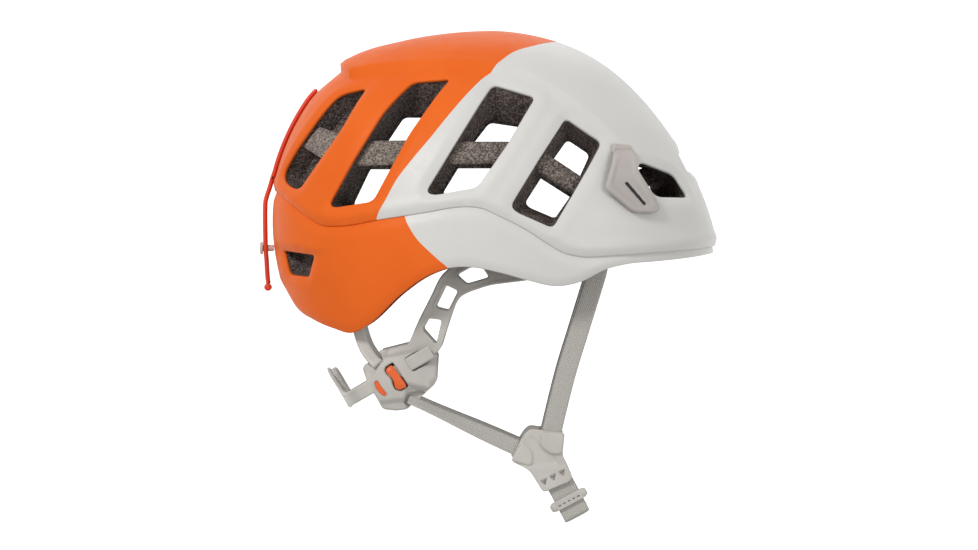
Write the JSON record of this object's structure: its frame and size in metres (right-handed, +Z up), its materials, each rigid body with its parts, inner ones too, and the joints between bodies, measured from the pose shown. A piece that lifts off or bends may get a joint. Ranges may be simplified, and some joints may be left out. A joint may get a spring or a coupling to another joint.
{
  "type": "climbing helmet",
  "caption": "Climbing helmet: two-tone vented shells over a foam liner, sliding nape band with side adjusters, webbing chin harness with magnetic buckle, and headlamp hooks",
  "frame": {"origin": "centre of the wearer's head at headband height, in the mid plane", "axes": "+X forward (visor), +Y to the wearer's left, +Z up (crown)"},
  "size_m": [0.287, 0.2122, 0.3081],
  "materials": {
    "accent": "orange moulded plastic",
    "anchor": "dark moulded plastic clip",
    "arm": "light grey flexible moulded plastic",
    "buckle": "dark moulded plastic, fine grain",
    "crown_core": "dense moulded bead foam, dark grey",
    "elastic_stud": "pale moulded plastic",
    "elastic_tail": "smooth red-orange elastic",
    "foam_liner": "moulded bead foam, dark grey with light flecks",
    "hook": "warm grey moulded plastic, fine grain",
    "housing": "light warm grey moulded plastic, fine grain",
    "lower_shell": "satin polycarbonate skin, orange at the back and off-white in front",
    "magnet": "plated magnet disc",
    "pad": "brushed dark knit over soft foam",
    "pin": "dark moulded plastic",
    "rear_elastic": "smooth red-orange elastic",
    "upper_shell": "satin polycarbonate skin, orange at the back and off-white in front",
    "webbing": "woven light warm grey webbing",
    "yoke": "light grey moulded plastic"
  },
  "bodies": {
    "root": {"upper_shell": "upper_shell", "lower_shell": "lower_shell", "foam_liner": "foam_liner", "crown_core": "crown_core", "rear_elastic": "rear_elastic", "forehead_pad": "pad", "crown_pad_front": "pad", "crown_pad_rear": "pad", "temple_pin_right": "pin", "temple_pin_left": "pin", "front_strap_anchor_right": "anchor", "front_strap_anchor_left": "anchor", "rear_strap_anchor_right": "anchor", "rear_strap_anchor_left": "anchor", "hook_foot_right": "hook", "hook_foot_left": "hook"},
    "cradle": {"ladder_arm_right": "arm", "ladder_arm_left": "arm", "adjuster_housing_right": "housing", "adjuster_housing_left": "housing", "latch_spring_right": "accent", "latch_spring_left": "accent", "rear_strap_right": "webbing", "rear_strap_left": "webbing"},
    "nape": {"nape_band": "arm", "nape_pad": "pad"},
    "button_right": {"latch_button_right": "accent"},
    "button_left": {"latch_button_left": "accent"},
    "strap_right": {"front_strap_right": "webbing", "rear_webbing_right": "webbing", "yoke_right": "yoke", "chin_tail_right": "webbing"},
    "strap_left": {"front_strap_left": "webbing", "rear_webbing_left": "webbing", "yoke_left": "yoke", "chin_tail_left": "webbing"},
    "chin_right": {"chin_strap_right": "webbing", "buckle_male": "buckle", "buckle_male_magnet": "magnet"},
    "chin_left": {"chin_strap_left": "webbing", "buckle_female": "buckle", "buckle_female_magnet": "magnet"},
    "keeper": {"strap_keeper": "yoke"},
    "lamp_loop": {"elastic_tail": "elastic_tail", "elastic_stud": "elastic_stud"},
    "hook_right": {"front_hook_right": "hook"},
    "hook_left": {"front_hook_left": "hook"}
  },
  "joints": [
    {"name": "cradle_tilt", "type": "hinge", "parent": "root", "child": "cradle", "pos_m": [0.051, 0, 0.0045], "axis": [0, 1, 0], "range_deg": [-7, 6]},
    {"name": "nape_slide", "type": "slide", "parent": "cradle", "child": "nape", "axis": [0.8631, 0, 0.5051], "range_m": [-0.012, 0.004]},
    {"name": "latch_press_right", "type": "slide", "parent": "cradle", "child": "button_right", "axis": [0.8631, 0, 0.5051], "range_m": [0, 0.0025], "stiffness_N_per_m": 400, "springref_m": -0.002},
    {"name": "latch_press_left", "type": "slide", "parent": "cradle", "child": "button_left", "axis": [0.8631, 0, 0.5051], "range_m": [0, 0.0025], "stiffness_N_per_m": 400, "springref_m": -0.002},
    {"name": "strap_swing_right", "type": "hinge", "parent": "cradle", "child": "strap_right", "pos_m": [0.0715, -0.067, -0.0085], "axis": [-0.8087, -0.0367, -0.587], "range_deg": [0, 20]},
    {"name": "strap_swing_left", "type": "hinge", "parent": "cradle", "child": "strap_left", "pos_m": [0.0715, 0.067, -0.0085], "axis": [0.8087, -0.0367, 0.587], "range_deg": [0, 20]},
    {"name": "chin_open_right", "type": "hinge", "parent": "strap_right", "child": "chin_right", "pos_m": [0.0601, -0.0605, -0.1551], "axis": [-0.8821, 0, -0.4711], "range_deg": [0, 65]},
    {"name": "chin_open_left", "type": "hinge", "parent": "strap_left", "child": "chin_left", "pos_m": [0.0601, 0.0605, -0.1551], "axis": [0.8821, 0, 0.4711], "range_deg": [0, 39]},
    {"name": "keeper_slide", "type": "slide", "parent": "strap_right", "child": "keeper", "axis": [0.4711, 0, -0.8821], "range_m": [-0.004, 0.005]},
    {"name": "lamp_loop_open", "type": "hinge", "parent": "root", "child": "lamp_loop", "pos_m": [-0.134, 0, 0.0521], "axis": [0, 1, 0], "range_deg": [0, 50], "stiffness_Nm_per_rad": 0.02},
    {"name": "hook_flex_right", "type": "hinge", "parent": "root", "child": "hook_right", "pos_m": [0.0905, -0.0765, 0.0712], "axis": [-0.888, -0.449, 0.0998], "range_deg": [0, 10], "stiffness_Nm_per_rad": 0.5},
    {"name": "hook_flex_left", "type": "hinge", "parent": "root", "child": "hook_left", "pos_m": [0.0905, 0.0765, 0.0712], "axis": [0.888, -0.449, -0.0998], "range_deg": [0, 10], "stiffness_Nm_per_rad": 0.5}
  ],
  "couplings": [
    {"joint": "strap_swing_left", "follows": "strap_swing_right", "ratio": 1},
    {"joint": "chin_open_left", "follows": "chin_open_right", "ratio": 0.6}
  ]
}
